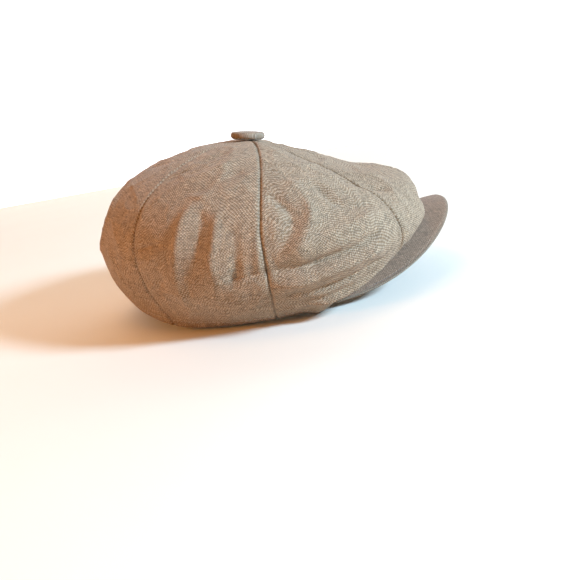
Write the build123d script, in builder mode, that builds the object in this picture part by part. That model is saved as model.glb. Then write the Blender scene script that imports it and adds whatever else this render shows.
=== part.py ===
"""Newsboy cap: an eight-panel linen crown with lining, sweatband, sewn-in visor and a covered button.

Millimetres. +X points forward along the visor, +Y to the wearer's left, +Z up. The origin is the
centre of the head opening, and the side hems lie in the plane Z = 0.
"""

import os
from dataclasses import dataclass
from math import cos, hypot, radians, sin, sqrt

from build123d import *

# Head opening: an ellipse of about 583 mm round, for a head between 58 and 59 cm.
OPENING_HALF_LENGTH = 102.0
OPENING_HALF_WIDTH = 83.0

# The eight crown seams and lining seams all run from the hem up to one vertical pole.
POLE_X = 3.0
APEX_HEIGHT = 106.0
APEX_HOLE_RADIUS = 3.0
SEAM_AZIMUTHS = (0, 43, 92, 138, 180)
PANEL_NAMES = ("front", "side_front", "side_back", "back")
PANEL_BELLY = 2.0
GORE_STEPS = 4

# Cloth and board thicknesses
CROWN_CLOTH = 1.2
LINING_CLOTH = 0.8
SWEATBAND_CLOTH = 0.9
TAPE_CLOTH = 0.9
VISOR_CLOTH = 0.6
VISOR_BOARD = 1.6
SEWN_GAP = 0.45

# Bands inside the opening
SWEATBAND_HEIGHT = 21.0
TAPE_HEIGHT = 12.0
TAPE_INSET = 1.6
SWEATBAND_INSET = 2.9
TAPE_FOOT = 0.5
SWEATBAND_FOOT = 0.8
RIM_STEPS = 48

# Visor: its surface is an arch across Y that climbs gently forward.
VISOR_START_X = 38.0
VISOR_TIP_X = 136.0
VISOR_ARCH = 33.0
VISOR_SLOPE = 0.07
VISOR_START_Z = 3.6
VISOR_PLAN_POWER = 2.2
RIM_ALLOWANCE = 1.0
HEM_RAMP_X = 24.0
BACK_RISE_X = -48.0
BACK_RISE = 15.0

# Covered button, whose axis leans forward with the cloth under it
BUTTON_TILT = 10.0
BUTTON_RADIUS = 12.0
BUTTON_THICKNESS = 5.6
BUTTON_LIFT = 1.2
BUTTON_COVER = 0.5
BUTTON_BACK = 0.6
SHANK_RADIUS = 1.5
PRONG_HEAD_RADIUS = 4.5
LEG_SPREAD = 14.0
LEG_WIDTH = 2.4
LEG_THICKNESS = 0.5
WASHER_RADIUS = 8.0
WASHER_THICKNESS = 0.8
WASHER_DROP = 3.0

# Lining: how far above the tape it starts and under the apex it closes, how far it swells outward and
# how high its widest point is, both as shares of the crown's rise above its foot, and the upright
# stretches of its curve below and above that point, as shares of the rise there
LINING_FOOT_GAP = 1.5
LINING_DROP = 9.0
LINING_OVERHANG = 0.3
LINING_WAIST = 0.6
LINING_WALL = 0.3
LINING_FOOT_REACH = 0.4
LINING_SHOULDER = 0.85

VISOR_HALF_WIDTH = OPENING_HALF_WIDTH * sqrt(1 - (VISOR_START_X / OPENING_HALF_LENGTH) ** 2)
BOARD_DROP = SEWN_GAP + VISOR_CLOTH


@dataclass
class Seam:
    """One crown seam's curve, seen in the vertical plane through the pole."""

    widest_radius: float
    widest_height: float
    foot_reach: float  # how far the curve runs outward from the hem, as a share of the overhang
    foot_rise: float  # how far it climbs there, as a share of the widest height above the hem
    wall: float  # the upright stretch below the widest point, as a share of the same height
    shoulder: float  # the upright stretch above it, as a share of the height up to the apex
    top_reach: float  # where the flat top ends, as a share of the widest radius
    top_height: float  # the top's height there above the apex

    def mixed(self, other, share, belly):
        """The curve at a share of the way to another seam, puffed out by belly."""
        values = [a + (b - a) * share for a, b in zip(vars(self).values(), vars(other).values())]
        blend = Seam(*values)
        blend.widest_radius += belly
        blend.top_height += belly
        return blend


SEAMS = (
    Seam(117, 50, foot_reach=0.75, foot_rise=0.20, wall=0.40, shoulder=0.42, top_reach=0.46, top_height=-22),
    Seam(115, 38, foot_reach=0.70, foot_rise=0.10, wall=0.50, shoulder=0.42, top_reach=0.42, top_height=-15),
    Seam(110, 44, foot_reach=0.65, foot_rise=0.25, wall=0.45, shoulder=0.60, top_reach=0.52, top_height=2),
    Seam(111, 54, foot_reach=0.50, foot_rise=0.40, wall=0.35, shoulder=0.66, top_reach=0.58, top_height=6),
    Seam(116, 50, foot_reach=0.50, foot_rise=0.40, wall=0.35, shoulder=0.70, top_reach=0.58, top_height=8),
)


def visor_surface(x, y):
    """Height of the sheet that the front hem and the visor's upper face share."""
    arch = VISOR_ARCH * (1 - (y / VISOR_HALF_WIDTH) ** 2)
    return VISOR_START_Z + arch + VISOR_SLOPE * (x - VISOR_START_X)


def hem_height(x, y):
    """Height of the crown's lower edge: flat at the sides, raised over the visor and at the back."""
    if x > VISOR_START_X:
        return visor_surface(x, y)
    if x > HEM_RAMP_X:
        return VISOR_START_Z * ((x - HEM_RAMP_X) / (VISOR_START_X - HEM_RAMP_X)) ** 2
    if x < BACK_RISE_X:
        return BACK_RISE * ((x - BACK_RISE_X) / (OPENING_HALF_LENGTH + BACK_RISE_X)) ** 2
    return 0.0


def hem_radius(azimuth):
    """Distance from the pole to the opening's ellipse."""
    c, s = cos(radians(azimuth)), sin(radians(azimuth))
    a = (c / OPENING_HALF_LENGTH) ** 2 + (s / OPENING_HALF_WIDTH) ** 2
    b = POLE_X * c / OPENING_HALF_LENGTH**2
    return (-b + sqrt(b * b + a * (1 - (POLE_X / OPENING_HALF_LENGTH) ** 2))) / a


def hem_point(azimuth):
    """Radius and height of the hem."""
    radius = hem_radius(azimuth)
    x = POLE_X + radius * cos(radians(azimuth))
    return radius, hem_height(x, radius * sin(radians(azimuth)))


def seam_curve(azimuth, seam):
    """Control points of the two Bezier curves from the hem to the widest point and on to the apex."""
    hem_r, hem_z = hem_point(azimuth)
    wide_r, wide_z = seam.widest_radius, seam.widest_height
    rise = wide_z - hem_z
    return [
        (hem_r, hem_z),
        (hem_r + seam.foot_reach * (wide_r - hem_r), hem_z + seam.foot_rise * rise),
        (wide_r, wide_z - seam.wall * rise),
        (wide_r, wide_z),
        (wide_r, wide_z + seam.shoulder * (APEX_HEIGHT - wide_z)),
        (seam.top_reach * wide_r, APEX_HEIGHT + seam.top_height),
        (APEX_HOLE_RADIUS, APEX_HEIGHT),
    ]


def lining_curve(azimuth, seam):
    """Control points of a lining gore: from behind the sweatband up to just under the apex."""
    hem_r, hem_z = hem_point(azimuth)
    foot_r = hem_r - TAPE_INSET
    foot_z = hem_z + TAPE_HEIGHT + LINING_FOOT_GAP
    room = max(seam.widest_height - foot_z, 0)
    wide_r = foot_r + LINING_OVERHANG * room
    wide_z = foot_z + LINING_WAIST * room + SWEATBAND_HEIGHT - TAPE_HEIGHT
    rise = wide_z - foot_z
    top = APEX_HEIGHT - LINING_DROP
    return [
        (foot_r, foot_z),
        (foot_r + LINING_FOOT_REACH * (wide_r - foot_r), foot_z + LINING_WALL * rise),
        (wide_r, wide_z - LINING_WALL * rise),
        (wide_r, wide_z),
        (wide_r, wide_z + LINING_SHOULDER * seam.shoulder * (top - wide_z)),
        (seam.top_reach * wide_r, top + seam.top_height),
        (APEX_HOLE_RADIUS, top),
    ]


def inset(points, distance):
    """The same chain of control points, moved inward square to its legs."""
    moved = []
    for index, (r, z) in enumerate(points):
        before = points[max(index - 1, 0)]
        after = points[min(index + 1, len(points) - 1)]
        dr, dz = after[0] - before[0], after[1] - before[1]
        length = hypot(dr, dz)
        moved.append((r - distance * dz / length, z + distance * dr / length))
    return moved


def radial_plane(azimuth):
    """Upright plane through the pole, with local X pointing outward."""
    c, s = cos(radians(azimuth)), sin(radians(azimuth))
    return Plane(origin=(POLE_X, 0, 0), x_dir=(c, s, 0), z_dir=(s, -c, 0))


def gore(curve, first, second, index, thickness):
    """Loft one gore through upright sections, from seam index to the next."""
    with BuildPart() as piece:
        for step in range(GORE_STEPS + 1):
            share = step / GORE_STEPS
            azimuth = first + share * (second - first)
            belly = PANEL_BELLY * 4 * share * (1 - share)
            outer = curve(azimuth, SEAMS[index].mixed(SEAMS[index + 1], share, belly))
            inner = inset(outer, thickness)
            with BuildSketch(radial_plane(azimuth)):
                with BuildLine():
                    Bezier(*outer[:4])
                    Bezier(*outer[3:])
                    Line(outer[-1], inner[-1])
                    Bezier(*inner[3:])
                    Bezier(*inner[:4])
                    Line(inner[0], outer[0])
                make_face()
        loft()
    return piece


def opening_band(name, inset_by, thickness, height, foot):
    """A band that stands inside the opening and follows the hem's rise at front and back."""
    with BuildPart() as band:
        with BuildSketch():
            Ellipse(OPENING_HALF_LENGTH - inset_by, OPENING_HALF_WIDTH - inset_by)
            Ellipse(
                OPENING_HALF_LENGTH - inset_by - thickness,
                OPENING_HALF_WIDTH - inset_by - thickness,
                mode=Mode.SUBTRACT,
            )
        extrude(amount=APEX_HEIGHT)
        reach = OPENING_HALF_LENGTH + 5
        xs = [reach * (2 * step / RIM_STEPS - 1) for step in range(RIM_STEPS + 1)]
        rim = [(x, opening_rim_height(x) + foot) for x in xs]
        with BuildSketch(Plane.XZ):
            with BuildLine():
                Polyline(*rim, *[(x, z + height) for x, z in reversed(rim)], close=True)
            make_face()
        extrude(amount=OPENING_HALF_WIDTH + 5, both=True, mode=Mode.INTERSECT)
    band.part.label = name
    return band


def opening_rim_height(x):
    """Hem height on the opening's ellipse, which depends on x alone."""
    share = min(abs(x) / OPENING_HALF_LENGTH, 1.0)
    return hem_height(x, OPENING_HALF_WIDTH * sqrt(1 - share**2))


def visor_layer(name, drop, thickness, trim):
    """One layer of the visor: its plan outline cut from an arched sheet, drop below the hem."""
    half = VISOR_HALF_WIDTH - trim
    tip = VISOR_TIP_X - trim
    inner_length = OPENING_HALF_LENGTH - CROWN_CLOTH
    inner_width = OPENING_HALF_WIDTH - CROWN_CLOTH
    start_x = inner_length * sqrt(1 - (half / inner_width) ** 2)
    rim = []
    for step in range(-4, 5):
        y = half * sin(radians(90 * step / 4))
        x = start_x + (tip - start_x) * (1 - abs(y / half) ** VISOR_PLAN_POWER) ** (1 / VISOR_PLAN_POWER)
        rim.append((x, y))
    side = VISOR_HALF_WIDTH + 10
    centre_z = visor_surface(0, 0) - drop
    side_z = visor_surface(0, side) - drop
    with BuildPart() as layer:
        with BuildSketch(Plane.YZ):
            with BuildLine():
                Bezier((-side, side_z), (0, 2 * centre_z - side_z), (side, side_z))
                Line((side, side_z), (side, side_z - thickness))
                Bezier(
                    (side, side_z - thickness),
                    (0, 2 * centre_z - side_z - thickness),
                    (-side, side_z - thickness),
                )
                Line((-side, side_z - thickness), (-side, side_z))
            make_face()
        extrude(amount=VISOR_TIP_X + 20, dir=(1, 0, VISOR_SLOPE))
        with BuildSketch(Plane.XY.offset(-40)):
            with BuildLine():
                Spline(*rim, tangents=[(1, 0.02), (-1, 0.02)])
                Line(rim[-1], rim[0])
            make_face()
            Ellipse(inner_length, inner_width, mode=Mode.SUBTRACT)
        extrude(amount=140, mode=Mode.INTERSECT)
    layer.part.label = name
    return layer


os.makedirs("parts", exist_ok=True)

# Crown panels and lining gores, right side at negative azimuths
for side_name, sign in (("left", 1), ("right", -1)):
    for number, panel_name in enumerate(PANEL_NAMES):
        edges = (sign * SEAM_AZIMUTHS[number], sign * SEAM_AZIMUTHS[number + 1])
        panel = gore(seam_curve, *edges, number, CROWN_CLOTH)
        panel.part.label = f"crown_{panel_name}_{side_name}"
        export_step(panel.part, f"parts/{panel.part.label}.step")
        lining = gore(lining_curve, *edges, number, LINING_CLOTH)
        lining.part.label = f"lining_{panel_name}_{side_name}"
        export_step(lining.part, f"parts/{lining.part.label}.step")

# Bands in the opening
for band in (
    opening_band("sweatband", SWEATBAND_INSET, SWEATBAND_CLOTH, SWEATBAND_HEIGHT, SWEATBAND_FOOT),
    opening_band("hem_stay_tape", TAPE_INSET, TAPE_CLOTH, TAPE_HEIGHT, TAPE_FOOT),
):
    export_step(band.part, f"parts/{band.part.label}.step")

# Visor: cloth, board, cloth
for layer in (
    visor_layer("visor_top_cover", SEWN_GAP, VISOR_CLOTH, trim=0.0),
    visor_layer("visor_board", BOARD_DROP, VISOR_BOARD, trim=RIM_ALLOWANCE),
    visor_layer("visor_under_cover", BOARD_DROP + VISOR_BOARD, VISOR_CLOTH, trim=0.0),
):
    export_step(layer.part, f"parts/{layer.part.label}.step")

# Covered button, stacked on its tilted axis
apex_plane = Plane(
    origin=(POLE_X, 0, APEX_HEIGHT),
    x_dir=(cos(radians(BUTTON_TILT)), 0, -sin(radians(BUTTON_TILT))),
    z_dir=(sin(radians(BUTTON_TILT)), 0, cos(radians(BUTTON_TILT))),
)
button_plane = Plane(
    origin=apex_plane.offset(BUTTON_LIFT).origin, x_dir=apex_plane.x_dir, z_dir=-apex_plane.y_dir
)
button_axis = Axis(apex_plane.origin, apex_plane.z_dir)


def button_lens(shrink):
    """The button's flat-bottomed lens, smaller by a cloth thickness."""
    radius = BUTTON_RADIUS - shrink
    top = BUTTON_THICKNESS - shrink
    waist = 0.35 * BUTTON_THICKNESS
    with BuildPart() as lens:
        with BuildSketch(button_plane):
            with BuildLine():
                Line((0, 0), (radius - 2, 0))
                Bezier((radius - 2, 0), (radius, 0), (radius, waist))
                Bezier((radius, waist), (radius, top - 0.4), (0.6 * radius, top), (0, top))
                Line((0, top), (0, 0))
            make_face()
        revolve(axis=button_axis)
    return lens.part


with BuildPart() as button_cover:
    add(button_lens(shrink=0.0))
    add(button_lens(shrink=BUTTON_COVER), mode=Mode.SUBTRACT)
button_cover.part.label = "button_cover"

with BuildPart() as button_shell:
    add(button_lens(shrink=BUTTON_COVER))
    with BuildSketch(apex_plane.offset(BUTTON_LIFT)):
        Circle(BUTTON_RADIUS - 3)
    extrude(amount=BUTTON_BACK, mode=Mode.SUBTRACT)
    with BuildSketch(apex_plane.offset(BUTTON_LIFT + BUTTON_BACK)):
        Circle(BUTTON_RADIUS - 5)
    extrude(amount=BUTTON_THICKNESS / 2, mode=Mode.SUBTRACT)
button_shell.part.label = "button_shell"

with BuildPart() as button_back:
    with BuildSketch(apex_plane.offset(BUTTON_LIFT)):
        Circle(BUTTON_RADIUS - 3)
        Circle(SHANK_RADIUS, mode=Mode.SUBTRACT)
    extrude(amount=BUTTON_BACK)
button_back.part.label = "button_back"

# The prong: a head inside the button, a shank through the apex, and legs bent out below the washer
leg_drop = WASHER_DROP + WASHER_THICKNESS + SEWN_GAP + LEG_THICKNESS
with BuildPart() as button_prong:
    with BuildSketch(apex_plane.offset(-leg_drop)):
        Circle(SHANK_RADIUS)
    extrude(amount=leg_drop + BUTTON_LIFT + BUTTON_BACK)
    with BuildSketch(apex_plane.offset(BUTTON_LIFT + BUTTON_BACK)):
        Circle(PRONG_HEAD_RADIUS)
    extrude(amount=LEG_THICKNESS)
    with BuildSketch(apex_plane.offset(-leg_drop)):
        SlotOverall(LEG_SPREAD, LEG_WIDTH)
    extrude(amount=LEG_THICKNESS)
button_prong.part.label = "button_prong"

with BuildPart() as apex_washer:
    with BuildSketch(apex_plane.offset(-WASHER_DROP - WASHER_THICKNESS)):
        Circle(WASHER_RADIUS)
        Circle(SHANK_RADIUS + SEWN_GAP, mode=Mode.SUBTRACT)
    extrude(amount=WASHER_THICKNESS)
apex_washer.part.label = "apex_washer"

for piece in (button_cover, button_shell, button_back, button_prong, apex_washer):
    export_step(piece.part, f"parts/{piece.part.label}.step")
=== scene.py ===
"""Newsboy cap in melange linen: the looks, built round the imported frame.

Lengths below are millimetres in the frame's axes (+X along the visor, +Z up); meshes are metres.
"""

import math

import bpy
import numpy as np
from mathutils import Matrix, Vector, noise


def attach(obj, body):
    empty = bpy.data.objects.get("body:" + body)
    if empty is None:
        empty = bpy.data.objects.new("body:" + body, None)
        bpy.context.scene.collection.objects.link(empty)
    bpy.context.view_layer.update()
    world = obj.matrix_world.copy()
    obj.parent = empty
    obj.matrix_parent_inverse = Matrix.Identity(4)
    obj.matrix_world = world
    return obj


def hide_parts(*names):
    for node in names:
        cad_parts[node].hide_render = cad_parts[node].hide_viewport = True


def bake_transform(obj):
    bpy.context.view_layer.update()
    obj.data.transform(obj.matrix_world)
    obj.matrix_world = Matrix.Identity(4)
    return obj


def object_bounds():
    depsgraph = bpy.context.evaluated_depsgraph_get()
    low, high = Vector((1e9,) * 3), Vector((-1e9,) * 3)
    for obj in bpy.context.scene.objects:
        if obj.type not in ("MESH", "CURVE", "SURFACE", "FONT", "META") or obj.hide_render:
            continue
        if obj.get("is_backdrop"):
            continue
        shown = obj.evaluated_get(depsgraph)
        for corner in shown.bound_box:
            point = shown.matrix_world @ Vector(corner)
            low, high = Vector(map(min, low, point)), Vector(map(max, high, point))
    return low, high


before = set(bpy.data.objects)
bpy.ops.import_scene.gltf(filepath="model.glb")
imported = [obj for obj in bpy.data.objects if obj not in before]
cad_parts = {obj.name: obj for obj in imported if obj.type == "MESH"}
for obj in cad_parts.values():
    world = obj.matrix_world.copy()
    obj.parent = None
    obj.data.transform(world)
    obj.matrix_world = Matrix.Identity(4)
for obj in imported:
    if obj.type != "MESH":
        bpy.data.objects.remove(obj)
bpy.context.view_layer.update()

MM = 0.001

# ---------------------------------------------------------------- sizes shared with the frame

OPENING_LENGTH = 102.0
OPENING_WIDTH = 83.0
POLE_X = 3.0
APEX_HEIGHT = 106.0
APEX_HOLE = 3.0
PANEL_BELLY = 2.0
PANEL_NAMES = ("front", "side_front", "side_back", "back")
SIDES = {"left": 1, "right": -1}
SEAM_AZIMUTHS = (0, 43, 92, 138, 180)

# One value per crown seam, front to back, as in the frame's own seam curves
SEAM_SHAPES = {
    "wide_r": (117, 115, 110, 111, 116),
    "wide_z": (50, 38, 44, 54, 50),
    "foot_reach": (0.75, 0.70, 0.65, 0.50, 0.50),
    "foot_rise": (0.20, 0.10, 0.25, 0.40, 0.40),
    "wall": (0.40, 0.50, 0.45, 0.35, 0.35),
    "shoulder": (0.42, 0.42, 0.60, 0.66, 0.70),
    "top_reach": (0.46, 0.42, 0.52, 0.58, 0.58),
    "top_height": (-22, -15, 2, 6, 8),
}

VISOR_START_X = 38.0
VISOR_TIP_X = 136.0
VISOR_ARCH = 33.0
VISOR_SLOPE = 0.07
VISOR_START_Z = 3.6
VISOR_PLAN_POWER = 2.2
VISOR_TOP_DROP = 0.45
VISOR_THICKNESS = 2.8
VISOR_INSET = 1.2
VISOR_HALF = OPENING_WIDTH * math.sqrt(1 - (VISOR_START_X / OPENING_LENGTH) ** 2)
HEM_RAMP_X = 24.0
BACK_RISE_X = -48.0
BACK_RISE = 15.0

# The side seams lean forward above this share of their length, by this many degrees at the button
SEAM_LEAN = 14.0
SEAM_LEAN_START = 0.36
SEAM_LEAN_SPREAD = 40.0

# How far the soft crown settles from its smooth shape
FRONT_SAG = 5.0
BACK_SAG = 1.5
FRONT_DRAW = 7.0
BACK_DRAW = 2.2
# The crown's hem hangs this much lower where it laps the visor's ends
VISOR_END_LAP = 3.0

SEAM_ALLOWANCE = 3.0
HEM_ALLOWANCE = 11.0
HEM_FOLD_RADIUS = 0.45
HEM_ROLL = 1.1
SWEATBAND_INSET = 3.0
SWEATBAND_HEIGHT = 21.0
TAPE_INSET = 1.7
TAPE_HEIGHT = 12.0
LINING_DROP = 9.0
LINING_OVERHANG = 0.3
LINING_WAIST = 0.6

BUTTON_TILT = math.radians(10)
BUTTON_RADIUS = 12.0
BUTTON_THICKNESS = 5.6
BUTTON_LIFT = 1.2


# ---------------------------------------------------------------- surfaces

def visor_surface(x, y):
    arch = VISOR_ARCH * (1 - (y / VISOR_HALF) ** 2)
    return VISOR_START_Z + arch + VISOR_SLOPE * (x - VISOR_START_X)


def hem_height(x, y):
    """Height of the crown's lower edge: flat at the sides, raised over the visor and at the back."""
    if x > VISOR_START_X:
        return visor_surface(x, y)
    if x > HEM_RAMP_X:
        return VISOR_START_Z * ((x - HEM_RAMP_X) / (VISOR_START_X - HEM_RAMP_X)) ** 2
    if x < BACK_RISE_X:
        return BACK_RISE * ((x - BACK_RISE_X) / (OPENING_LENGTH + BACK_RISE_X)) ** 2
    return 0.0


def hem_point(azimuth):
    """Radius and height of the hem, seen from the pole."""
    c, s = math.cos(math.radians(azimuth)), math.sin(math.radians(azimuth))
    a = (c / OPENING_LENGTH) ** 2 + (s / OPENING_WIDTH) ** 2
    b = POLE_X * c / OPENING_LENGTH**2
    radius = (-b + math.sqrt(b * b + a * (1 - (POLE_X / OPENING_LENGTH) ** 2))) / a
    return radius, hem_height(POLE_X + radius * c, radius * s)


def seam_shape(azimuth):
    """The seam values mixed for any azimuth, puffed out between two seams."""
    place = abs(azimuth)
    shape = {name: np.interp(place, SEAM_AZIMUTHS, values) for name, values in SEAM_SHAPES.items()}
    index = min(np.searchsorted(SEAM_AZIMUTHS, place, side="right") - 1, len(PANEL_NAMES) - 1)
    share = (place - SEAM_AZIMUTHS[index]) / (SEAM_AZIMUTHS[index + 1] - SEAM_AZIMUTHS[index])
    belly = PANEL_BELLY * 4 * share * (1 - share)
    shape["wide_r"] += belly
    shape["top_height"] += belly
    return shape


def crown_curve(azimuth):
    """Control points of the crown's curve from the hem to the widest point and on to the apex."""
    hem_r, hem_z = hem_point(azimuth)
    s = seam_shape(azimuth)
    rise = s["wide_z"] - hem_z
    return (
        (hem_r, hem_z),
        (hem_r + s["foot_reach"] * (s["wide_r"] - hem_r), hem_z + s["foot_rise"] * rise),
        (s["wide_r"], s["wide_z"] - s["wall"] * rise),
        (s["wide_r"], s["wide_z"]),
        (s["wide_r"], s["wide_z"] + s["shoulder"] * (APEX_HEIGHT - s["wide_z"])),
        (s["top_reach"] * s["wide_r"], APEX_HEIGHT + s["top_height"]),
        (APEX_HOLE, APEX_HEIGHT),
    )


def lining_curve(azimuth):
    """Control points of the lining's curve, from behind the sweatband to under the apex."""
    hem_r, hem_z = hem_point(azimuth)
    s = seam_shape(azimuth)
    foot_r, foot_z = hem_r - TAPE_INSET, hem_z + TAPE_HEIGHT + 1.5
    room = max(s["wide_z"] - foot_z, 0)
    wide_r = foot_r + LINING_OVERHANG * room
    wide_z = foot_z + LINING_WAIST * room + SWEATBAND_HEIGHT - TAPE_HEIGHT
    top = APEX_HEIGHT - LINING_DROP
    return (
        (foot_r, foot_z),
        (foot_r + 0.4 * (wide_r - foot_r), foot_z + 0.3 * (wide_z - foot_z)),
        (wide_r, wide_z - 0.3 * (wide_z - foot_z)),
        (wide_r, wide_z),
        (wide_r, wide_z + 0.85 * s["shoulder"] * (top - wide_z)),
        (s["top_reach"] * wide_r, top + s["top_height"]),
        (0.6, top),
    )


def bezier(points, samples):
    t = np.linspace(0, 1, samples)[:, None]
    a, b, c, d = (np.array(p, float) for p in points)
    return (1 - t) ** 3 * a + 3 * (1 - t) ** 2 * t * b + 3 * (1 - t) * t**2 * c + t**3 * d


def upright(curve, azimuth, shares):
    """Points up one upright curve, at shares of its length."""
    control = curve(azimuth)
    rz = np.vstack([bezier(control[:4], 60), bezier(control[3:], 120)[1:]])
    length = np.r_[0, np.cumsum(np.hypot(*np.diff(rz, axis=0).T))]
    r = np.interp(shares * length[-1], length, rz[:, 0])
    z = np.interp(shares * length[-1], length, rz[:, 1])
    a = math.radians(azimuth)
    return np.stack([POLE_X + r * math.cos(a), r * math.sin(a), z], axis=-1)


def gore_grid(curve, first, second, columns, rows):
    """Points over one gore, indexed [across, up]. Columns crowd towards the two seams."""
    across = 0.5 - 0.5 * np.cos(np.linspace(0, np.pi, columns))
    shares = np.linspace(0, 1, rows)
    return np.array([upright(curve, first + (second - first) * share, shares) for share in across])


def lean_side_seam(grid):
    """Turns the upper crown forward round the pole, most at the side seams, which lean that way."""
    offset = grid[..., :2] - np.array([POLE_X, 0])
    azimuth = np.degrees(np.arctan2(offset[..., 1], offset[..., 0]))
    by_seam = np.exp(-(((np.abs(azimuth) - SEAM_AZIMUTHS[2]) / SEAM_LEAN_SPREAD) ** 2))
    share = np.linspace(0, 1, grid.shape[1])
    rise = np.clip((share - SEAM_LEAN_START) / (1 - SEAM_LEAN_START), 0, 1) ** 1.2
    turned = np.radians(azimuth - np.sign(grid[grid.shape[0] // 2, 0, 1]) * SEAM_LEAN * by_seam * rise)
    radius = np.linalg.norm(offset, axis=-1)
    x, y = POLE_X + radius * np.cos(turned), radius * np.sin(turned)
    return np.stack([x, y, grid[..., 2]], axis=-1)


def bell(value, middle, spread):
    return np.exp(-(((value - middle) / spread) ** 2))


def settle(grid):
    """Lets the upper front sag, draws the front in over the visor and lets the back slump lower."""
    x, y, z = np.moveaxis(grid, -1, 0)
    high = np.clip((z - 58) / 22, 0, 1)
    radius = np.hypot(x - POLE_X, y)
    azimuth = np.abs(np.degrees(np.arctan2(y, x - POLE_X)))
    out = grid.copy()
    out[..., 2] -= FRONT_SAG * bell(x, 70, 26) * bell(y, 0, 60) * high
    out[..., 2] -= BACK_SAG * bell(x, -55, 35) * high
    out[..., 0] -= FRONT_DRAW * bell(azimuth, 0, 28) * bell(z, 50, 11) * np.clip((radius - 102) / 8, 0, 1)
    out[..., 0] += BACK_DRAW * bell(azimuth, 180, 50) * (bell(z, 66, 20) - bell(z, 24, 14))
    return out


def outward_normals(grid):
    """Unit normals of a grid, pointing away from the pole."""
    across, up = np.gradient(grid, axis=0), np.gradient(grid, axis=1)
    normal = np.cross(across, up)
    normal /= np.linalg.norm(normal, axis=-1, keepdims=True) + 1e-12
    middle = np.array([POLE_X, 0, 30.0])
    outward = np.sum(normal * (grid - middle), axis=-1)
    return normal * np.where(outward.mean() < 0, -1, 1)


def run_lengths(grid, axis):
    """Length along the grid's lines from their first point."""
    steps = np.linalg.norm(np.diff(grid, axis=axis), axis=-1)
    zero = np.zeros_like(np.take(steps, [0], axis=axis))
    return np.concatenate([zero, np.cumsum(steps, axis=axis)], axis=axis)


# ---------------------------------------------------------------- folds and creases

def crown_spot(azimuth, share):
    """A point on the smooth crown, by azimuth and share of the way from hem to apex."""
    return upright(crown_curve, azimuth, np.array([share]))[0]


# Soft folds pressed into the crown: their route as (azimuth, share of the way up), their half
# width and their height, negative for a hollow. Negative azimuths are the wearer's right.
FOLDS = (
    # side back panel, right: upright folds under the broad part of the crown
    (((-126, 0.06), (-121, 0.18), (-119, 0.30), (-117, 0.42), (-113, 0.50)), 4.6, 3.0),
    (((-119, 0.16), (-114, 0.28), (-112, 0.38), (-110, 0.47)), 3.8, -2.9),
    (((-109, 0.22), (-107, 0.34), (-104, 0.48)), 3.6, 2.0),
    (((-105, 0.20), (-101, 0.30), (-100, 0.42)), 4.0, -2.7),
    (((-95, 0.22), (-94, 0.34), (-91, 0.52)), 3.4, 2.6),
    (((-90, 0.28), (-89, 0.40)), 3.0, -2.0),
    (((-139, 0.32), (-130, 0.335), (-121, 0.36)), 1.8, -1.6),
    (((-138, 0.285), (-127, 0.30)), 2.4, 1.1),
    (((-136, 0.10), (-130, 0.20), (-127, 0.27)), 4.0, -1.5),
    # long folds that sweep up from the back to the button
    (((-139, 0.49), (-131, 0.60), (-119, 0.70), (-102, 0.79)), 3.6, -1.8),
    (((-136, 0.45), (-124, 0.56), (-108, 0.64), (-92, 0.70)), 4.2, 1.9),
    (((-128, 0.49), (-109, 0.56), (-93, 0.62)), 3.2, -1.7),
    (((-118, 0.50), (-104, 0.53), (-94, 0.57)), 3.0, 1.3),
    # side front panel, right: folds that fan out from the foot of the side seam
    (((-106, 0.24), (-90, 0.25), (-74, 0.265), (-60, 0.28), (-46, 0.30)), 3.8, -4.2),
    (((-94, 0.195), (-80, 0.215), (-66, 0.23), (-46, 0.235)), 3.4, 3.4),
    (((-88, 0.16), (-70, 0.175), (-50, 0.185)), 3.2, -3.2),
    (((-94, 0.07), (-76, 0.10), (-60, 0.125), (-46, 0.15)), 3.4, 2.8),
    (((-84, 0.11), (-66, 0.14), (-52, 0.155)), 2.4, -1.6),
    (((-86, 0.52), (-81, 0.40), (-88, 0.29)), 4.6, -3.2),
    (((-77, 0.58), (-74, 0.44), (-80, 0.34), (-89, 0.285)), 4.8, 3.0),
    (((-68, 0.54), (-61, 0.42), (-48, 0.36)), 4.2, -2.4),
    (((-80, 0.32), (-62, 0.34), (-44, 0.31)), 4.0, 2.8),
    (((-64, 0.64), (-56, 0.56), (-44, 0.52)), 4.0, 1.6),
    (((-60, 0.47), (-50, 0.44), (-40, 0.44)), 2.4, -1.0),
    # front, right
    (((-42, 0.62), (-34, 0.50), (-24, 0.40)), 4.6, 3.0),
    (((-52, 0.57), (-42, 0.44), (-34, 0.35)), 3.8, -2.8),
    (((-30, 0.66), (-4, 0.72), (24, 0.68)), 6.0, -1.0),
    (((-36, 0.15), (-16, 0.19), (0, 0.20)), 3.0, 1.0),
    # left side, freer
    (((122, 0.06), (118, 0.24), (121, 0.46)), 4.8, 2.6),
    (((112, 0.16), (109, 0.32), (113, 0.48)), 4.2, -2.6),
    (((99, 0.24), (103, 0.44)), 3.8, 2.1),
    (((92, 0.22), (72, 0.28), (50, 0.26)), 3.8, -2.4),
    (((90, 0.15), (70, 0.21), (48, 0.18)), 3.4, 1.9),
    (((84, 0.50), (78, 0.36), (86, 0.28)), 4.8, 2.2),
    (((68, 0.46), (60, 0.34), (46, 0.32)), 4.0, -1.6),
    (((134, 0.46), (122, 0.58), (104, 0.66)), 4.2, 1.6),
    (((38, 0.58), (30, 0.42), (22, 0.34)), 4.6, 1.8),
    # back
    (((-168, 0.20), (-160, 0.36), (-163, 0.52)), 5.5, 1.9),
    (((-150, 0.14), (-149, 0.34)), 4.0, -1.7),
    (((166, 0.24), (158, 0.40), (160, 0.56)), 5.5, 1.7),
    (((149, 0.12), (151, 0.32)), 4.0, -1.6),
    (((-176, 0.60), (-160, 0.68), (-144, 0.70)), 4.6, -1.3),
)


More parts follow.
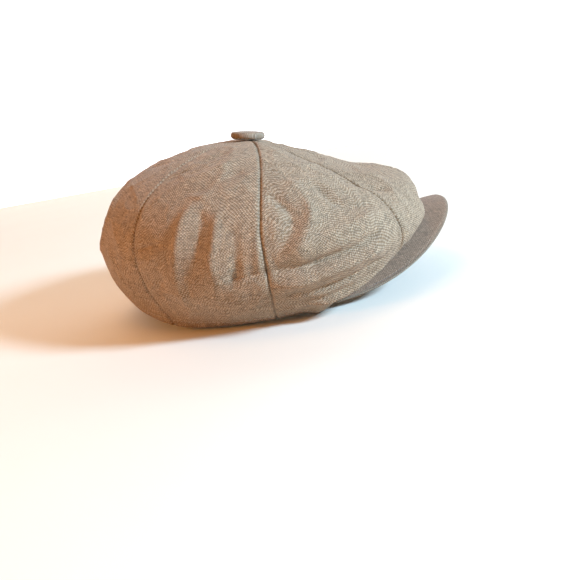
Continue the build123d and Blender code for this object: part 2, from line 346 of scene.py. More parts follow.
def smooth_route(points, per_leg=6):
    """A route's corners rounded off as a Catmull-Rom line."""
    p = np.array([crown_spot(*point) for point in points])
    p = np.vstack([2 * p[0] - p[1], p, 2 * p[-1] - p[-2]])
    out = []
    for i in range(1, len(p) - 2):
        for t in np.linspace(0, 1, per_leg, endpoint=False):
            a, b, c, d = p[i - 1:i + 3]
            out.append(0.5 * (2 * b + (c - a) * t + (2 * a - 5 * b + 4 * c - d) * t**2
                              + (3 * b - a - 3 * c + d) * t**3))
    return np.array(out + [p[-2]])


WANDER = 3.5
FOLD_LINES = [(smooth_route(route), width, height) for route, width, height in FOLDS]


def wander(points):
    """Points moved about a little, so that folds measured from them run unevenly."""
    moved = points.copy()
    for i, p in enumerate(points):
        moved[i] += WANDER * np.array(noise.noise_vector(Vector(p) / 24.0))
    return moved


def fold_height(points):
    """Sum of every fold's height at each point. A fold is sharper on its crest than in its foot."""
    total = np.zeros(len(points))
    points = wander(points)
    swell = np.array([1 + 0.7 * noise.noise(Vector(p) / 19.0 + Vector((3, 3, 8))) for p in points])
    for line, width, height in FOLD_LINES:
        near = np.full(len(points), 1e9)
        along = np.zeros(len(points))
        legs = len(line) - 1
        for i in range(legs):
            start, leg = line[i], line[i + 1] - line[i]
            t = np.clip((points - start) @ leg / (leg @ leg), 0, 1)
            gap = np.linalg.norm(points - start - t[:, None] * leg, axis=1)
            closer = gap < near
            near = np.where(closer, gap, near)
            along = np.where(closer, (i + t) / legs, along)
        ends = np.clip(np.minimum(along, 1 - along) * 3.2, 0, 1)
        total += height * ends * (2 - ends) / (1 + (near / width) ** 2) ** 2
    return total * swell


def crumple(points):
    """Crumpling of linen: broad waves, ridged creases and a fine unevenness."""
    out = np.empty(len(points))
    for i, p in enumerate(points):
        v = Vector(p)
        broad = noise.noise(v / 46.0)
        ridge = 1 - abs(noise.noise(v / 30.0 + Vector((7, 3, 1)))) * 2.2
        small = noise.noise(v / 13.0 + Vector((1, 9, 4)))
        fine = noise.noise(v / 5.5)
        crease = 1 - abs(noise.noise(v / 17.0 + Vector((4, 2, 9)))) * 3.4
        out[i] = 1.5 * broad + 0.9 * max(ridge, 0) ** 3 + 0.45 * max(crease, 0) ** 2 + 0.4 * small + 0.12 * fine
    return out


def seam_relief(edge, run):
    """The sewn seam: a tight groove, the plump ridge of its allowance, and small puckers."""
    groove = -1.0 * np.exp(-((edge / 0.75) ** 2))
    ridge = 0.25 * np.exp(-(((edge - 2.6) / 1.8) ** 2))
    pucker = np.sin(run / 2.3 + 1.7 * np.sin(run / 9.0)) * (0.6 + 0.4 * np.sin(run / 17.0))
    return groove + ridge + 0.16 * pucker * np.exp(-edge / 5.0) * (1 - np.exp(-edge / 0.8))


# ---------------------------------------------------------------- mesh building

def grid_mesh(name, grid, weave, closed=False):
    """A quad sheet from grid points in millimetres, with the cloth's own coordinates on it."""
    columns, rows = grid.shape[:2]
    index = np.arange(columns * rows).reshape(columns, rows)
    if closed:
        index = np.vstack([index, index[:1]])
    faces = np.stack([index[:-1, :-1], index[1:, :-1], index[1:, 1:], index[:-1, 1:]], axis=-1)
    mesh = bpy.data.meshes.new(name)
    mesh.from_pydata((grid.reshape(-1, 3) * MM).tolist(), [], faces.reshape(-1, 4).tolist())
    attribute = mesh.attributes.new("weave", "FLOAT_VECTOR", "POINT")
    attribute.data.foreach_set("vector", weave.reshape(-1, 3).astype(np.float32).ravel())
    mesh.shade_smooth()
    piece = bpy.data.objects.new(name, mesh)
    bpy.context.collection.objects.link(piece)
    return piece


def cloth_coordinates(grid, column_run=None):
    """Millimetres across and up the cloth, at each grid point."""
    across = run_lengths(grid, 0)
    across = across - across[len(across) // 2]
    up = run_lengths(grid, 1)
    if column_run is not None:
        across = np.broadcast_to(column_run[:, None], up.shape)
    return np.stack([across, up, np.zeros_like(up)], axis=-1)


# ---------------------------------------------------------------- crown

CROWN_COLUMNS = 61
CROWN_ROWS = 151
crown_faces = {}


def crown_panel(panel, side, first, second):
    """One crown panel: displaced cloth, seam edges turned in, and the hem folded up inside."""
    smooth = gore_grid(crown_curve, first, second, CROWN_COLUMNS, CROWN_ROWS)
    base = settle(lean_side_seam(smooth))
    base[..., 2] -= VISOR_END_LAP * bell(base[..., 0], 29, 8) * np.exp(-base[..., 2] / 14)
    normal = outward_normals(base)
    across, up = run_lengths(base, 0), run_lengths(base, 1)
    edge = np.minimum(across, across[-1:] - across)
    radius = np.hypot(base[..., 0] - POLE_X, base[..., 1])
    calm_hem = 1 - np.exp(-((up / 9.0) ** 2))
    calm_apex = 1 - np.exp(-((radius / 16.0) ** 2))
    flat = base.reshape(-1, 3)
    folds = fold_height(flat).reshape(edge.shape)
    waves = crumple(flat).reshape(edge.shape)
    near_seam = 0.35 + 0.65 * (1 - np.exp(-((edge / 7.0) ** 2)))
    rest = (folds * near_seam + waves * (0.5 + 0.5 * near_seam)) * calm_hem * calm_apex
    relief = seam_relief(edge, up) * np.clip(radius / 12, 0.25, 1)
    lift = 1.0 * np.exp(-((radius / 6.5) ** 2))
    over_visor = np.clip((base[..., 0] - 60) / 30, 0, 1) * np.exp(-((up / 16.0) ** 2))
    relief = relief * (1 - 0.7 * over_visor) + HEM_ROLL * over_visor * bell(up, 3.6, 2.6)
    rest = np.where(rest > 0, rest * (1 - 0.9 * over_visor), rest)
    outer = base + normal * (rest + relief)[..., None] + np.array([0, 0, 1]) * lift[..., None]
    crown_faces[panel, side] = outer
    # Seam allowances: the cloth turns in behind the seam
    turn_in = (0.8, SEAM_ALLOWANCE)
    first_edge = [outer[:1] - normal[:1] * depth for depth in reversed(turn_in)]
    last_edge = [outer[-1:] - normal[-1:] * depth for depth in turn_in]
    wide = np.concatenate(first_edge + [outer] + last_edge, axis=0)
    wide_normal = np.concatenate([normal[:1]] * 2 + [normal] + [normal[-1:]] * 2, axis=0)
    # Hem: round the fold, then up inside
    tangent = wide[:, 1] - wide[:, 0]
    tangent /= np.linalg.norm(tangent, axis=-1, keepdims=True)
    n0 = wide_normal[:, 0]
    turns = []
    for angle in np.linspace(math.pi, 0, 6)[:-1]:
        inward = HEM_FOLD_RADIUS * (1 - math.cos(angle))
        down = HEM_FOLD_RADIUS * math.sin(angle)
        turns.append(wide[:, 0] - n0 * inward - tangent * down)
    inside_rows = int(HEM_ALLOWANCE / (up[:, 1].mean()))
    inside = [wide[:, j] - wide_normal[:, j] * 2 * HEM_FOLD_RADIUS for j in range(inside_rows, 0, -1)]
    full = np.concatenate([np.stack(inside + turns, axis=1), wide], axis=1)
    piece = grid_mesh(f"crown_{panel}_{side}_cloth", full, cloth_coordinates(full))
    piece.data.materials.append(linen)
    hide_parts(f"crown_{panel}_{side}")
    return piece


def place(piece, reaches_visor):
    """Cloth that reaches the visor keeps its baked transform and no parent; other cloth rides on the crown."""
    if reaches_visor:
        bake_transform(piece)
    else:
        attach(piece, "crown")


def lining_gore(panel, side, first, second):
    smooth = gore_grid(lining_curve, first, second, 33, 81)
    grid = settle(smooth)
    normal = outward_normals(grid)
    across, up = run_lengths(grid, 0), run_lengths(grid, 1)
    edge = np.minimum(across, across[-1:] - across)
    flat = grid.reshape(-1, 3)
    waves = np.array([noise.noise(Vector(p) / 22.0 + Vector((5, 5, 5))) for p in flat]).reshape(edge.shape)
    drag = np.sin(up / 5.0 + 2 * waves) * np.exp(-edge / 6.0)
    groove = 0.7 * np.exp(-((edge / 0.9) ** 2))
    calm = 1 - np.exp(-((up / 8.0) ** 2))
    grid = grid + normal * ((0.5 * waves + 0.18 * drag) * calm - 0.8 * calm + groove)[..., None]
    piece = grid_mesh(f"lining_{panel}_{side}_cloth", grid, cloth_coordinates(grid))
    piece.data.materials.append(lining)
    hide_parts(f"lining_{panel}_{side}")
    return piece


# ---------------------------------------------------------------- bands in the opening

def opening_ring(inset, share):
    """A point on the opening's ellipse, inset, at a share of the way round from the back."""
    angle = math.pi + 2 * math.pi * share
    x = (OPENING_LENGTH - inset) * math.cos(angle)
    y = (OPENING_WIDTH - inset) * math.sin(angle)
    scale = OPENING_LENGTH / (OPENING_LENGTH - inset)
    return x, y, hem_height(x * scale, y * OPENING_WIDTH / (OPENING_WIDTH - inset))


def band(name, node, material, inset, profile, ripple):
    """A closed band whose section is profile, as (inward, up) from the inset hem line."""
    steps = 360
    ring = np.array([opening_ring(inset, i / steps) for i in range(steps)])
    inward = np.stack([-ring[:, 0] / OPENING_LENGTH**2, -ring[:, 1] / OPENING_WIDTH**2], axis=-1)
    inward /= np.linalg.norm(inward, axis=-1, keepdims=True)
    run = run_lengths(ring[:, None], 0)[:, 0]
    grid = np.empty((steps, len(profile), 3))
    for j, (depth, height) in enumerate(profile):
        wave = ripple * np.sin(2 * math.pi * 9 * np.arange(steps) / steps + height / 9.0)
        grid[:, j, :2] = ring[:, :2] + inward * (depth + wave * min(height, 8) / 8)[:, None]
        grid[:, j, 2] = ring[:, 2] + height
    piece = grid_mesh(name, grid, cloth_coordinates(grid, run), closed=True)
    piece.data.materials.append(material)
    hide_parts(node)
    # Cut as a strip: the section's own length by the way round the inset hem line
    place(piece, reaches_visor=True)
    return grid


def folded_band_profile(foot, height, thickness):
    """Section of a band folded double at its lower edge, its upper edge turned over."""
    half = thickness / 2
    outer = [(0.0, foot + height - step) for step in np.linspace(1.0, height - half, 14)]
    bottom = [(half - half * math.cos(a), foot + half - half * math.sin(a))
              for a in np.linspace(0, math.pi, 7)[1:-1]]
    inner = [(thickness, foot + half + step) for step in np.linspace(0, height - half, 16)]
    top = [(thickness - half + half * math.cos(a), foot + height + half * math.sin(a))
           for a in np.linspace(0, math.pi, 7)[1:]]
    return outer + bottom + inner + top


# ---------------------------------------------------------------- visor

def visor_rims(share):
    """Inner and outer plan points of the visor at a share across, from right to left."""
    y = VISOR_HALF * math.sin(math.pi * (share - 0.5))
    side = min(abs(y / VISOR_HALF), 1.0)
    outer_x = VISOR_START_X + (VISOR_TIP_X - VISOR_START_X) * (1 - side**VISOR_PLAN_POWER) ** (
        1 / VISOR_PLAN_POWER)
    length, width = OPENING_LENGTH - VISOR_INSET, OPENING_WIDTH - VISOR_INSET
    inner_x = length * math.sqrt(max(1 - (y / width) ** 2, 0))
    return np.array([min(inner_x, outer_x), y]), np.array([outer_x, y])


def visor_cover(name, node, upper):
    """One face of the visor's cover: the sheet over the board and its wrap round the rim."""
    columns, rows, wrap = 161, 41, 7
    radius = VISOR_THICKNESS / 2
    rims = np.array([visor_rims(share) for share in np.linspace(0.004, 0.996, columns)])
    rim_line = rims[:, 1]
    along = np.gradient(rim_line, axis=0)
    out = np.stack([along[:, 1], -along[:, 0]], axis=-1)
    out /= np.linalg.norm(out, axis=-1, keepdims=True)
    mid = visor_surface(rim_line[:, 0], rim_line[:, 1]) - VISOR_TOP_DROP - radius
    sign = 1 if upper else -1
    grid = np.empty((columns, rows + wrap, 3))
    centre = rim_line - out * radius
    for j in range(rows):
        share = (j / (rows - 1)) ** 0.8
        plan = rims[:, 0] + (centre - rims[:, 0]) * share
        grid[:, j, :2] = plan
        grid[:, j, 2] = visor_surface(plan[:, 0], plan[:, 1]) - VISOR_TOP_DROP - radius + sign * radius
    for k in range(wrap):
        angle = math.pi / 2 * (1 - (k + 1) / wrap)
        grid[:, rows + k, :2] = centre + out * (radius * math.cos(angle))
        grid[:, rows + k, 2] = mid + sign * radius * math.sin(angle)
    flat = grid.reshape(-1, 3)
    waves = np.array([noise.noise(Vector(p) / 17.0 + Vector((2, 8, 6))) for p in flat])
    fine = np.array([noise.noise(Vector(p) / 6.0) for p in flat])
    amount = (0.16 * waves + 0.06 * fine).reshape(grid.shape[:2])
    grid[..., 2] += sign * (amount - 0.10)
    weave = np.stack([grid[..., 1], grid[..., 0], np.zeros_like(grid[..., 0])], axis=-1)
    piece = grid_mesh(name, grid, weave)
    piece.data.materials.append(visor_linen)
    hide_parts(node)
    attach(piece, "visor")
    return rim_line, mid


def tube(name, path, radius, segments=10, section=None):
    """A round tube along a path of points, in millimetres."""
    path = np.array(path)
    forward = np.gradient(path, axis=0)
    forward /= np.linalg.norm(forward, axis=-1, keepdims=True)
    up = np.array([0.0, 0.0, 1.0])
    side = np.cross(forward, up)
    side /= np.linalg.norm(side, axis=-1, keepdims=True) + 1e-9
    lift = np.cross(side, forward)
    ring = np.linspace(0, 2 * math.pi, segments, endpoint=False)
    size = np.full(len(path), radius) if section is None else radius * section
    grid = (path[:, None] + size[:, None, None] * (
        side[:, None] * np.cos(ring)[None, :, None] + lift[:, None] * np.sin(ring)[None, :, None]))
    return np.swapaxes(grid, 0, 1)


# ---------------------------------------------------------------- stitches

def stitch_mesh(name, ends, radius, material, sag=0.25):
    """Many short stitches as one mesh. ends holds (start, end, outward normal) in millimetres."""
    rings, segments = 5, 6
    verts, faces, weave = [], [], []
    for start, end, normal in ends:
        start, end, normal = np.array(start), np.array(end), np.array(normal)
        forward = (end - start) / (np.linalg.norm(end - start) + 1e-9)
        side = np.cross(forward, normal)
        side /= np.linalg.norm(side) + 1e-9
        first = len(verts)
        for i in range(rings):
            t = i / (rings - 1)
            bow = 4 * t * (1 - t)
            centre = start + (end - start) * t + normal * (sag * bow - 0.12)
            size = radius * (0.45 + 0.55 * bow**0.5)
            for k in range(segments):
                angle = 2 * math.pi * k / segments
                verts.append((centre + size * (side * math.cos(angle) + normal * math.sin(angle))) * MM)
                weave.append((k, t * 3, 0))
        for i in range(rings - 1):
            for k in range(segments):
                a, b = first + i * segments + k, first + i * segments + (k + 1) % segments
                faces.append((a, b, b + segments, a + segments))
        faces.append(tuple(first + k for k in reversed(range(segments))))
        faces.append(tuple(first + (rings - 1) * segments + k for k in range(segments)))
    mesh = bpy.data.meshes.new(name)
    mesh.from_pydata([tuple(v) for v in verts], [], faces)
    attribute = mesh.attributes.new("weave", "FLOAT_VECTOR", "POINT")
    attribute.data.foreach_set("vector", np.array(weave, np.float32).ravel())
    mesh.shade_smooth()
    piece = bpy.data.objects.new(name, mesh)
    bpy.context.collection.objects.link(piece)
    piece.data.materials.append(material)
    return piece


def stitches_along(line, normals, pitch, gap):
    """Stitch ends at an even pitch along a line of points."""
    run = np.r_[0, np.cumsum(np.linalg.norm(np.diff(line, axis=0), axis=1))]
    count = int(run[-1] / pitch)
    ends = []
    for i in range(count):
        at = run[-1] * (i + 0.5) / count
        span = np.array([at - (pitch - gap) / 2, at + (pitch - gap) / 2])
        a, b = (np.array([np.interp(s, run, line[:, axis]) for axis in range(3)]) for s in span)
        n = np.array([np.interp(at, run, normals[:, axis]) for axis in range(3)])
        ends.append((a, b, n / np.linalg.norm(n)))
    return ends


# ---------------------------------------------------------------- materials

class Nodes:
    """Small helper that adds and links shader nodes."""

    def __init__(self, name):
        self.material = bpy.data.materials.new(name)
        self.material.use_nodes = True
        self.tree = self.material.node_tree
        self.shader = self.tree.nodes["Principled BSDF"]

    def add(self, kind, **settings):
        node = self.tree.nodes.new(kind)
        for key, value in settings.items():
            setattr(node, key, value)
        return node

    def link(self, source, target):
        self.tree.links.new(source, target)

    def math(self, operation, a, b=None, clamp=False):
        node = self.add("ShaderNodeMath", operation=operation, use_clamp=clamp)
        for socket, value in zip(node.inputs, (a, b)):
            if value is None:
                continue
            if isinstance(value, (int, float)):
                socket.default_value = value
            else:
                self.link(value, socket)
        return node.outputs[0]

    def mix(self, factor, a, b, blend_type="MIX"):
        node = self.add("ShaderNodeMix", data_type="RGBA", blend_type=blend_type)
        for socket, value in ((node.inputs[0], factor), (node.inputs[6], a), (node.inputs[7], b)):
            if isinstance(value, (int, float)):
                socket.default_value = value
            elif isinstance(value, tuple):
                socket.default_value = (*value, 1)
            else:
                self.link(value, socket)
        return node.outputs[2]

    def noise(self, vector, scale, detail=2.0, roughness=0.5):
        node = self.add("ShaderNodeTexNoise")
        node.inputs["Scale"].default_value = scale
        node.inputs["Detail"].default_value = detail
        node.inputs["Roughness"].default_value = roughness
        self.link(vector, node.inputs["Vector"])
        return node.outputs["Fac"]

    def scaled(self, vector, factors):
        node = self.add("ShaderNodeVectorMath", operation="MULTIPLY")
        self.link(vector, node.inputs[0])
        node.inputs[1].default_value = factors
        return node.outputs[0]

    def span(self, value, low, high, to_low=0.0, to_high=1.0):
        node = self.add("ShaderNodeMapRange")
        node.inputs["From Min"].default_value = low
        node.inputs["From Max"].default_value = high
        node.inputs["To Min"].default_value = to_low
        node.inputs["To Max"].default_value = to_high
        self.link(value, node.inputs["Value"])
        return node.outputs["Result"]

    def bump(self, height, distance, strength=1.0):
        node = self.add("ShaderNodeBump")
        node.inputs["Distance"].default_value = distance
        node.inputs["Strength"].default_value = strength
        self.link(height, node.inputs["Height"])
        self.link(node.outputs[0], self.shader.inputs["Normal"])


def woven(name, warp, weft, pitch, slub, roughness=0.85, sheen=0.06, relief=0.12):
    """Plain-woven cloth: warp and weft threads of two colours, with slubs and thread-to-thread change.

    pitch is the thread spacing in millimetres and slub, from 0 to 1, is how uneven the yarn is.
    """
    n = Nodes(name)
    cloth = n.add("ShaderNodeAttribute", attribute_name="weave", attribute_type="GEOMETRY")
    where = cloth.outputs["Vector"]
    drift = n.noise(n.scaled(where, (0.12, 0.12, 0)), 1.0, detail=2.0)
    split = n.add("ShaderNodeSeparateXYZ")
    n.link(where, split.inputs[0])
    bend = n.math("MULTIPLY", drift, 4.0)
    u = n.math("MULTIPLY", n.math("ADD", split.outputs[0], bend), math.pi / pitch)
    v = n.math("MULTIPLY", n.math("ADD", split.outputs[1], bend), math.pi / pitch)
    over = n.math("MULTIPLY", n.math("SINE", u), n.math("SINE", v))
    warp_on_top = n.span(over, -0.4, 0.4, 0.1, 0.9)
    # Yarn change: long streaks along each thread, wider bands across a few threads, and flecks
    warp_yarn = n.noise(n.scaled(where, (1 / pitch, 0.16, 0)), 1.0, detail=2.0, roughness=0.6)
    weft_yarn = n.noise(n.scaled(where, (0.16, 1 / pitch, 0)), 1.0, detail=2.0, roughness=0.6)
    warp_band = n.noise(n.scaled(where, (0.42, 0.02, 0)), 1.0, detail=3.0)
    weft_band = n.noise(n.scaled(where, (0.02, 0.42, 0)), 1.0, detail=3.0)
    fleck_u = n.noise(n.scaled(where, (1.15, 0.30, 0)), 1.0, detail=2.0, roughness=0.65)
    fleck_v = n.noise(n.scaled(where, (0.30, 1.15, 0)), 1.0, detail=2.0, roughness=0.65)
    fleck = n.math("MULTIPLY", n.math("ADD", fleck_u, fleck_v), 0.5)
    cloud = n.noise(n.scaled(where, (0.035, 0.035, 0)), 1.0, detail=3.0)
    dark_warp = tuple(channel * (1 - 0.60 * slub) for channel in warp)
    dark_weft = tuple(channel * (1 - 0.55 * slub) for channel in weft)
    warp_colour = n.mix(n.span(warp_yarn, 0.30, 0.66), dark_warp, warp)
    weft_colour = n.mix(n.span(weft_yarn, 0.30, 0.66), dark_weft, weft)
    colour = n.mix(warp_on_top, weft_colour, warp_colour)
    bands = n.math("ADD", n.span(warp_band, 0.3, 0.7, -0.5, 0.5), n.span(weft_band, 0.3, 0.7, -0.5, 0.5))
    flecks = n.span(fleck, 0.36, 0.64, -0.36 * slub, 0.36 * slub)
    level = n.math("ADD", n.math("MULTIPLY", bands, 0.18 * slub), flecks)
    level = n.math("ADD", level, n.span(cloud, 0.3, 0.7, -0.07, 0.07))
    shade = n.math("ADD", level, 0.5)
    ramp = n.mix(shade, tuple([0.55] * 3), tuple([1.45] * 3))
    colour = n.mix(1.0, colour, ramp, "MULTIPLY")
    n.link(colour, n.shader.inputs["Base Color"])
    ridge_u = n.math("ABSOLUTE", n.math("SINE", u))
    ridge_v = n.math("ABSOLUTE", n.math("SINE", v))
    threads = n.math("ADD", n.math("MULTIPLY", ridge_u, ridge_v), n.math("MULTIPLY", over, 0.4))
    height = n.math("ADD", threads, n.math("MULTIPLY", n.math("ADD", warp_yarn, weft_yarn), 0.9 * slub))
    n.bump(height, relief * MM)
    n.link(n.span(fleck, 0.2, 0.8, roughness - 0.06, min(roughness + 0.08, 1.0)), n.shader.inputs["Roughness"])
    n.shader.inputs["Specular IOR Level"].default_value = 0.3
    n.shader.inputs["Sheen Weight"].default_value = sheen
    n.shader.inputs["Sheen Roughness"].default_value = 0.45
    return n.material


def thread(name, colour):
    """Sewing thread: a twist along the stitch, painted shade in the twist's grooves, and a dull polish."""
    n = Nodes(name)
    cloth = n.add("ShaderNodeAttribute", attribute_name="weave", attribute_type="GEOMETRY")
    split = n.add("ShaderNodeSeparateXYZ")
    n.link(cloth.outputs["Vector"], split.inputs[0])
    twist = n.math("SINE", n.math("ADD", n.math("MULTIPLY", split.outputs[1], 9.0), split.outputs[0]))
    # The colour darkens to 0.72 where the twist sinks: painted shade in the grooves between the plies.
    n.link(n.mix(n.span(twist, -1, 1), tuple(0.72 * c for c in colour), colour), n.shader.inputs["Base Color"])
    n.bump(twist, 0.05 * MM)
    n.shader.inputs["Roughness"].default_value = 0.6
    return n.material


def solid(name, colour, roughness, metallic=0.0, grain=(1.0, 1.0, 1.0), scale=900.0, depth=0.03):
    """Board, washer or metal: a faint grain in colour, gloss and relief."""
    n = Nodes(name)
    place_ = n.add("ShaderNodeTexCoord").outputs["Object"]
    texture = n.noise(n.scaled(place_, grain), scale, detail=4.0)
    low, high = tuple(0.85 * c for c in colour), tuple(min(1.12 * c, 1.0) for c in colour)
    n.link(n.mix(n.span(texture, 0.3, 0.7), low, high), n.shader.inputs["Base Color"])
    n.link(n.span(texture, 0.2, 0.8, roughness - 0.08, roughness + 0.08), n.shader.inputs["Roughness"])
    n.bump(texture, depth * MM)
    n.shader.inputs["Metallic"].default_value = metallic
    return n.material


linen = woven("linen_melange", (0.25, 0.132, 0.060), (0.56, 0.415, 0.285), pitch=0.9, slub=1.0)
visor_linen = woven("linen_visor", (0.27, 0.155, 0.092), (0.38, 0.255, 0.175), pitch=0.8, slub=0.7)
button_linen = woven("linen_button", (0.27, 0.18, 0.11), (0.40, 0.30, 0.22), pitch=0.85, slub=0.7)
lining = woven("cotton_lining", (0.46, 0.38, 0.29), (0.56, 0.48, 0.38), pitch=0.45, slub=0.2,
               roughness=0.6, sheen=0.25, relief=0.05)
sweatband_cloth = woven("ribbed_band", (0.30, 0.22, 0.16), (0.40, 0.31, 0.23), pitch=1.5, slub=0.25,
                        roughness=0.75, relief=0.25)
tape_cloth = woven("cotton_tape", (0.70, 0.67, 0.60), (0.78, 0.75, 0.69), pitch=0.6, slub=0.2)
linen_thread = thread("linen_thread", (0.55, 0.44, 0.34))
board = solid("visor_board_plastic", (0.10, 0.10, 0.10), 0.55)
steel = solid("tinned_steel", (0.62, 0.62, 0.61), 0.35, metallic=1.0, grain=(1, 6, 1))
washer_plastic = solid("washer_plastic", (0.80, 0.78, 0.72), 0.5)


# ---------------------------------------------------------------- build the cap

for side, sign in SIDES.items():
    for number, panel in enumerate(PANEL_NAMES):
        first, second = sign * SEAM_AZIMUTHS[number], sign * SEAM_AZIMUTHS[number + 1]
        in_front = number < 2
        place(crown_panel(panel, side, first, second), in_front)
        place(lining_gore(panel, side, first, second), in_front)

sweatband_grid = band("sweatband_cloth_band", "sweatband", sweatband_cloth, SWEATBAND_INSET,
                      folded_band_profile(0.9, SWEATBAND_HEIGHT - 0.5, 0.9), ripple=0.12)
band("hem_stay_tape_band", "hem_stay_tape", tape_cloth, TAPE_INSET,
     [(0.4, 0.6 + step) for step in np.linspace(0, TAPE_HEIGHT - 0.4, 10)], ripple=0.0)

rim_line, rim_mid = visor_cover("visor_top_cover_cloth", "visor_top_cover", upper=True)
visor_cover("visor_under_cover_cloth", "visor_under_cover", upper=False)

# Rim seam: the two visor covers' seam shows as a fine rolled edge
rim_path = np.column_stack([rim_line, rim_mid])
rim_grid = tube("visor_rim_roll", rim_path, 0.75)
rim_weave = np.stack([np.broadcast_to(run_lengths(rim_path[:, None], 0)[:, 0], rim_grid.shape[:2]),
                      np.broadcast_to(np.arange(len(rim_grid))[:, None] * 0.5, rim_grid.shape[:2]),
                      np.zeros(rim_grid.shape[:2])], axis=-1)
rim_roll = grid_mesh("visor_rim_roll", rim_grid, rim_weave, closed=True)
rim_roll.data.materials.append(button_linen)
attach(rim_roll, "visor")

# Hem topstitching, six millimetres above the fold
HEM_STITCH_HEIGHT = 6.0
stitch_ends = []
for (panel, side), outer in crown_faces.items():
    normals = outward_normals(outer)
    run = run_lengths(outer, 1)
    line = np.array([[np.interp(HEM_STITCH_HEIGHT, run[i], outer[i, :, axis]) for axis in range(3)]
                     for i in range(len(outer))])
    line_normals = np.array([[np.interp(HEM_STITCH_HEIGHT, run[i], normals[i, :, axis]) for axis in range(3)]
                             for i in range(len(outer))])
    stitch_ends += stitches_along(line, line_normals, pitch=3.0, gap=0.7)
hem_stitches = stitch_mesh("hem_topstitching", stitch_ends, 0.24, linen_thread, sag=0.22)
place(hem_stitches, reaches_visor=True)

# Sweatband stitching near its lower edge
inner_face = sweatband_grid[:, 14 + 5 + 2]
inner_line = np.vstack([inner_face, inner_face[:1]])
towards = np.stack([-inner_line[:, 0] / OPENING_LENGTH**2, -inner_line[:, 1] / OPENING_WIDTH**2,
                    np.zeros(len(inner_line))], axis=-1)
towards /= np.linalg.norm(towards, axis=-1, keepdims=True)
band_stitches = stitch_mesh("sweatband_stitching", stitches_along(inner_line, towards, 3.0, 0.6), 0.22,
                            linen_thread, sag=0.2)
place(band_stitches, reaches_visor=True)


# ---------------------------------------------------------------- covered button

def button_cloth():
    """Cloth drawn over the button's lens and gathered in small pleats under its edge."""
    turns, height = 96, BUTTON_THICKNESS
    profile = [(BUTTON_RADIUS * math.sin(a), height - 1.5 * (1 - math.cos(a)) ** 1.1)
               for a in np.linspace(0.02, math.pi / 2 * 0.72, 16)]
    rim_r, rim_z = profile[-1]
    profile += [(rim_r + (BUTTON_RADIUS - rim_r) * math.sin(a), rim_z - (rim_z - 2.2) * (1 - math.cos(a)))
                for a in np.linspace(0, math.pi / 2, 8)[1:]]
    profile += [(BUTTON_RADIUS - 2.6 * (1 - math.cos(a)), 2.2 - 2.0 * math.sin(a))
                for a in np.linspace(0, math.pi / 2, 7)[1:]]
    profile += [(r, 0.12) for r in np.linspace(10.1, 8.6, 4)]
    grid = np.empty((turns, len(profile), 3))
    for i in range(turns):
        angle = 2 * math.pi * i / turns
        for j, (r, z) in enumerate(profile):
            below = max(0.0, min(1.0, (2.4 - z) / 2.0))
            pleat = below * 0.16 * math.sin(angle * 22) * (1 if r > 6 else 0.4)
            puff = 0.10 * noise.noise(Vector((r * math.cos(angle), r * math.sin(angle), z)) / 5.0)
            grid[i, j] = ((r + puff * 0.6) * math.cos(angle), (r + puff * 0.6) * math.sin(angle), z + pleat + puff)
    weave = grid[..., [0, 1, 2]].copy()
    weave[..., 2] = 0
    tilt = np.array(Matrix.Rotation(BUTTON_TILT, 3, "Y"))
    axis = tilt @ np.array([0, 0, 1.0])
    placed = grid @ tilt.T + np.array([POLE_X, 0, APEX_HEIGHT]) + axis * BUTTON_LIFT
    piece = grid_mesh("button_cover_cloth", placed, weave, closed=True)
    piece.data.materials.append(button_linen)
    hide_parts("button_cover")
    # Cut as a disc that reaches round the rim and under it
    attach(piece, "button")


button_cloth()

for node_name, material in (("visor_board", board), ("button_shell", steel), ("button_back", steel),
                            ("button_prong", steel), ("apex_washer", washer_plastic)):
    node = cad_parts[node_name]
    node.data.materials.clear()
    node.data.materials.append(material)


# ---------------------------------------------------------------- stage, light and camera

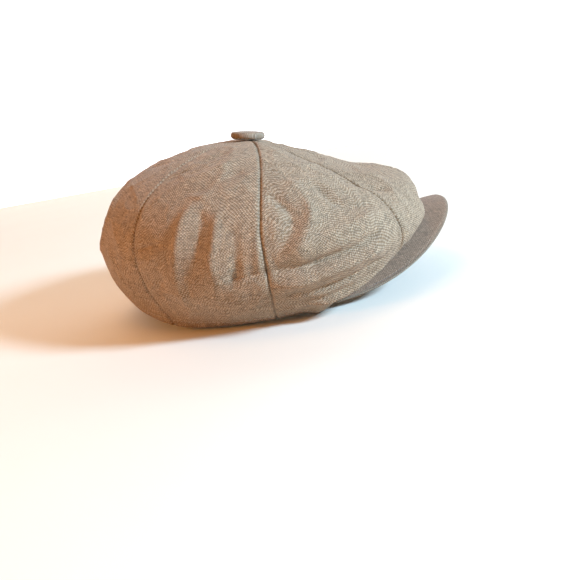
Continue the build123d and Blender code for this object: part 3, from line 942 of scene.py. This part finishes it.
def studio():
    """A pale floor that runs out of the picture, and soft light: warm from behind, cool in front."""
    scene = bpy.context.scene
    scene.view_settings.view_transform = "Standard"
    floor_mesh = bpy.data.meshes.new("floor")
    size = 6.0
    floor_mesh.from_pydata([(-size, -size, 0), (size, -size, 0), (size, size, 0), (-size, size, 0)], [], [(0, 1, 2, 3)])
    floor = bpy.data.objects.new("floor", floor_mesh)
    bpy.context.collection.objects.link(floor)
    floor.location.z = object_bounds()[0].z - 0.0003
    n = Nodes("pale_floor")
    spots = n.noise(n.add("ShaderNodeTexCoord").outputs["Object"], 9.0)
    n.link(n.mix(spots, (0.85, 0.76, 0.65), (0.88, 0.79, 0.68)), n.shader.inputs["Base Color"])
    n.shader.inputs["Roughness"].default_value = 0.9
    floor_mesh.materials.append(n.material)
    floor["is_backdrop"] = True
    backdrop_mesh = bpy.data.meshes.new("backdrop")
    backdrop_mesh.from_pydata([(-4, 1.0, -0.2), (4, 1.0, -0.2), (4, 1.0, 1.6), (-4, 1.0, 1.6)], [], [(0, 1, 2, 3)])
    backdrop = bpy.data.objects.new("backdrop", backdrop_mesh)
    bpy.context.collection.objects.link(backdrop)
    n = Nodes("white_backdrop")
    spots = n.noise(n.add("ShaderNodeTexCoord").outputs["Object"], 2.0)
    n.link(n.mix(spots, (0.99, 0.99, 0.99), (1.0, 1.0, 1.0)), n.shader.inputs["Emission Color"])
    n.shader.inputs["Base Color"].default_value = (0.9, 0.9, 0.9, 1)
    n.shader.inputs["Emission Strength"].default_value = 1.0
    backdrop_mesh.materials.append(n.material)
    backdrop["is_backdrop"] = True
    world = bpy.data.worlds.new("studio")
    scene.world = world
    world.use_nodes = True
    background = world.node_tree.nodes["Background"]
    background.inputs["Color"].default_value = (1.0, 0.74, 0.50, 1)
    background.inputs["Strength"].default_value = 0.20
    lights = (
        ("window_cool", (1.05, -0.62, 0.70), 0.26, (0.475, 0.735, 1.0), 40.0),
        ("lamp_warm", (-0.80, -0.45, 0.42), 0.26, (1.0, 0.37, 0.02), 3.9),
        ("overhead", (-0.25, -0.1, 1.5), 0.7, (1.0, 0.56, 0.20), 4.3),
    )
    target = Vector((0, 0, 0.05))
    for name, where, width, colour, power in lights:
        data = bpy.data.lights.new(name, "AREA")
        data.size = width
        data.color = colour
        data.energy = power
        light = bpy.data.objects.new(name, data)
        light.location = where
        light.rotation_euler = (target - Vector(where)).to_track_quat("-Z", "Y").to_euler()
        bpy.context.collection.objects.link(light)


CAMERA_TARGET = Vector((0, 0, 50)) * MM
CAMERA_DISTANCE = 0.5
CAMERA_ELEVATION = math.radians(10)
CAMERA_ROLL = math.radians(10.5)
LENS = 42.3
SENSOR = 36.0
# Where the target shows, as shares of the picture's width right of and above its middle
TARGET_RIGHT = -0.055
TARGET_ABOVE = 0.1225


def camera():
    """The camera stands square to the cap's right side, rolled so that the visor points up a little."""
    back = Vector((0, -math.cos(CAMERA_ELEVATION), math.sin(CAMERA_ELEVATION)))
    right = Vector((1, 0, 0))
    up = back.cross(right)
    roll = Matrix.Rotation(-CAMERA_ROLL, 3, back)
    axes = Matrix((roll @ right, roll @ up, back)).transposed()
    aim = Vector((TARGET_RIGHT * SENSOR / LENS, TARGET_ABOVE * SENSOR / LENS, -1))
    offset = Vector((0, 0, -1)).rotation_difference(aim).to_matrix()
    data = bpy.data.cameras.new("camera")
    data.lens = LENS
    data.sensor_width = SENSOR
    piece = bpy.data.objects.new("camera", data)
    piece.matrix_world = Matrix.Translation(CAMERA_TARGET + back * CAMERA_DISTANCE) @ (
        axes @ offset.transposed()).to_4x4()
    bpy.context.collection.objects.link(piece)
    bpy.context.scene.camera = piece


studio()
camera()
